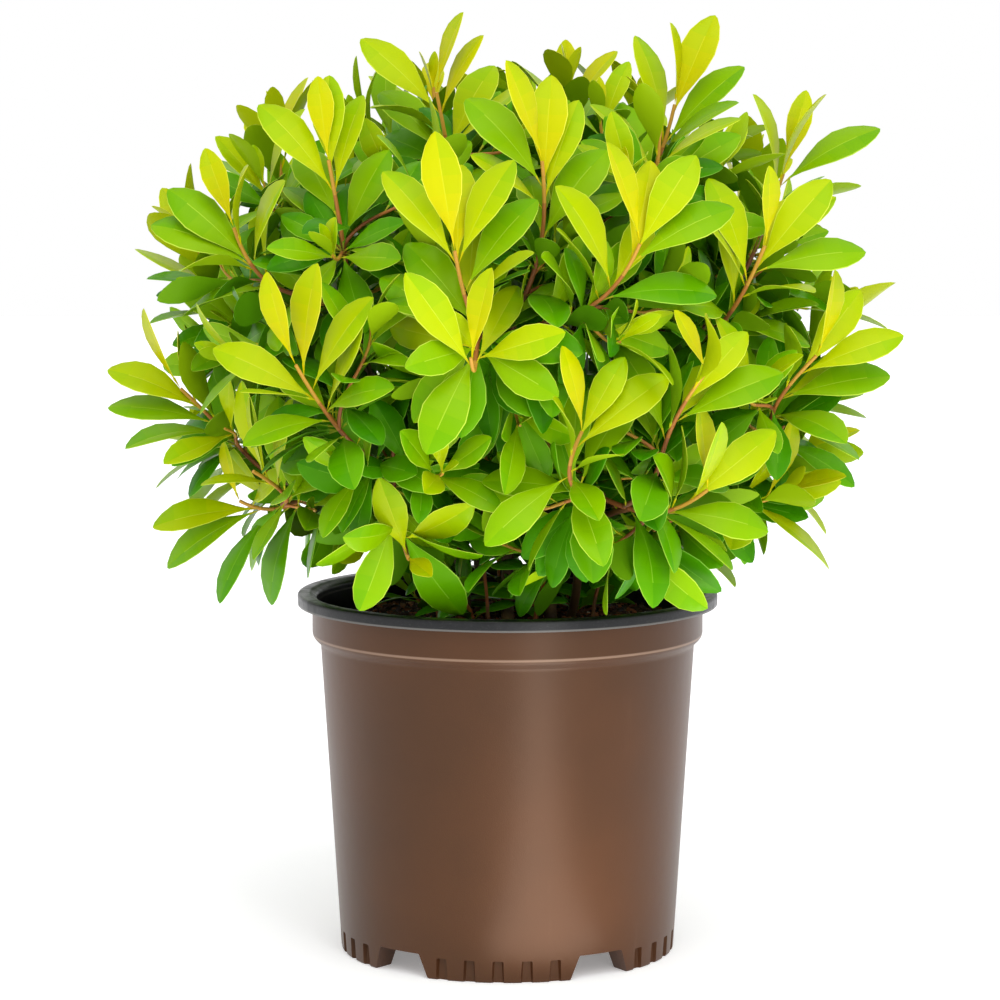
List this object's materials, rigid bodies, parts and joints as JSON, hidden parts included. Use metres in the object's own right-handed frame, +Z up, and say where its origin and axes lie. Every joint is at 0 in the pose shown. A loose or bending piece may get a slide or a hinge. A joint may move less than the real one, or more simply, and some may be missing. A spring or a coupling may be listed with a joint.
{
  "type": "potted yellow anise shrub",
  "caption": "Rounded evergreen shrub, its upright shoots ringed with long smooth leaves, growing in a tapered round nursery pot with a rolled rim and a notched foot.",
  "frame": {"origin": "on the pot's axis, at the level of the floor under its feet", "axes": "+Z up along the pot's axis; -Y towards the front, the side that the picture shows; +X to the right seen from the front"},
  "size_m": [0.5337, 0.5256, 0.624],
  "materials": {
    "pot_brown": "satin moulded plastic, warm brown",
    "rim_black": "satin moulded plastic, black",
    "bark_mix": "loose dark bark mix",
    "bark": "thin smooth bark, tan to olive",
    "leaf_green": "smooth soft-gloss leaves, lime at the tips of the shoots to deep green inside"
  },
  "bodies": {
    "root": {"bough_01": "bark", "bough_02": "bark", "bough_03": "bark", "bough_04": "bark", "bough_05": "bark", "bough_06": "bark", "bough_07": "bark", "bough_08": "bark", "bough_09": "bark", "bough_10": "bark", "bough_11": "bark", "bough_12": "bark", "bough_13": "bark", "bough_14": "bark", "bough_15": "bark", "bough_16": "bark", "foliage_01": "leaf_green", "foliage_02": "leaf_green", "foliage_03": "leaf_green", "foliage_04": "leaf_green", "foliage_05": "leaf_green", "foliage_06": "leaf_green", "foliage_07": "leaf_green", "foliage_08": "leaf_green", "foliage_09": "leaf_green", "foliage_10": "leaf_green", "foliage_11": "leaf_green", "foliage_12": "leaf_green", "foliage_13": "leaf_green", "foliage_14": "leaf_green", "foliage_15": "leaf_green", "foliage_16": "leaf_green", "pot": "pot_brown", "pot_rim": "rim_black", "potting_mix": "bark_mix", "stem_1": "bark", "stem_2": "bark", "stem_3": "bark", "stem_4": "bark", "stem_5": "bark", "stem_6": "bark"}
  },
  "joints": []
}
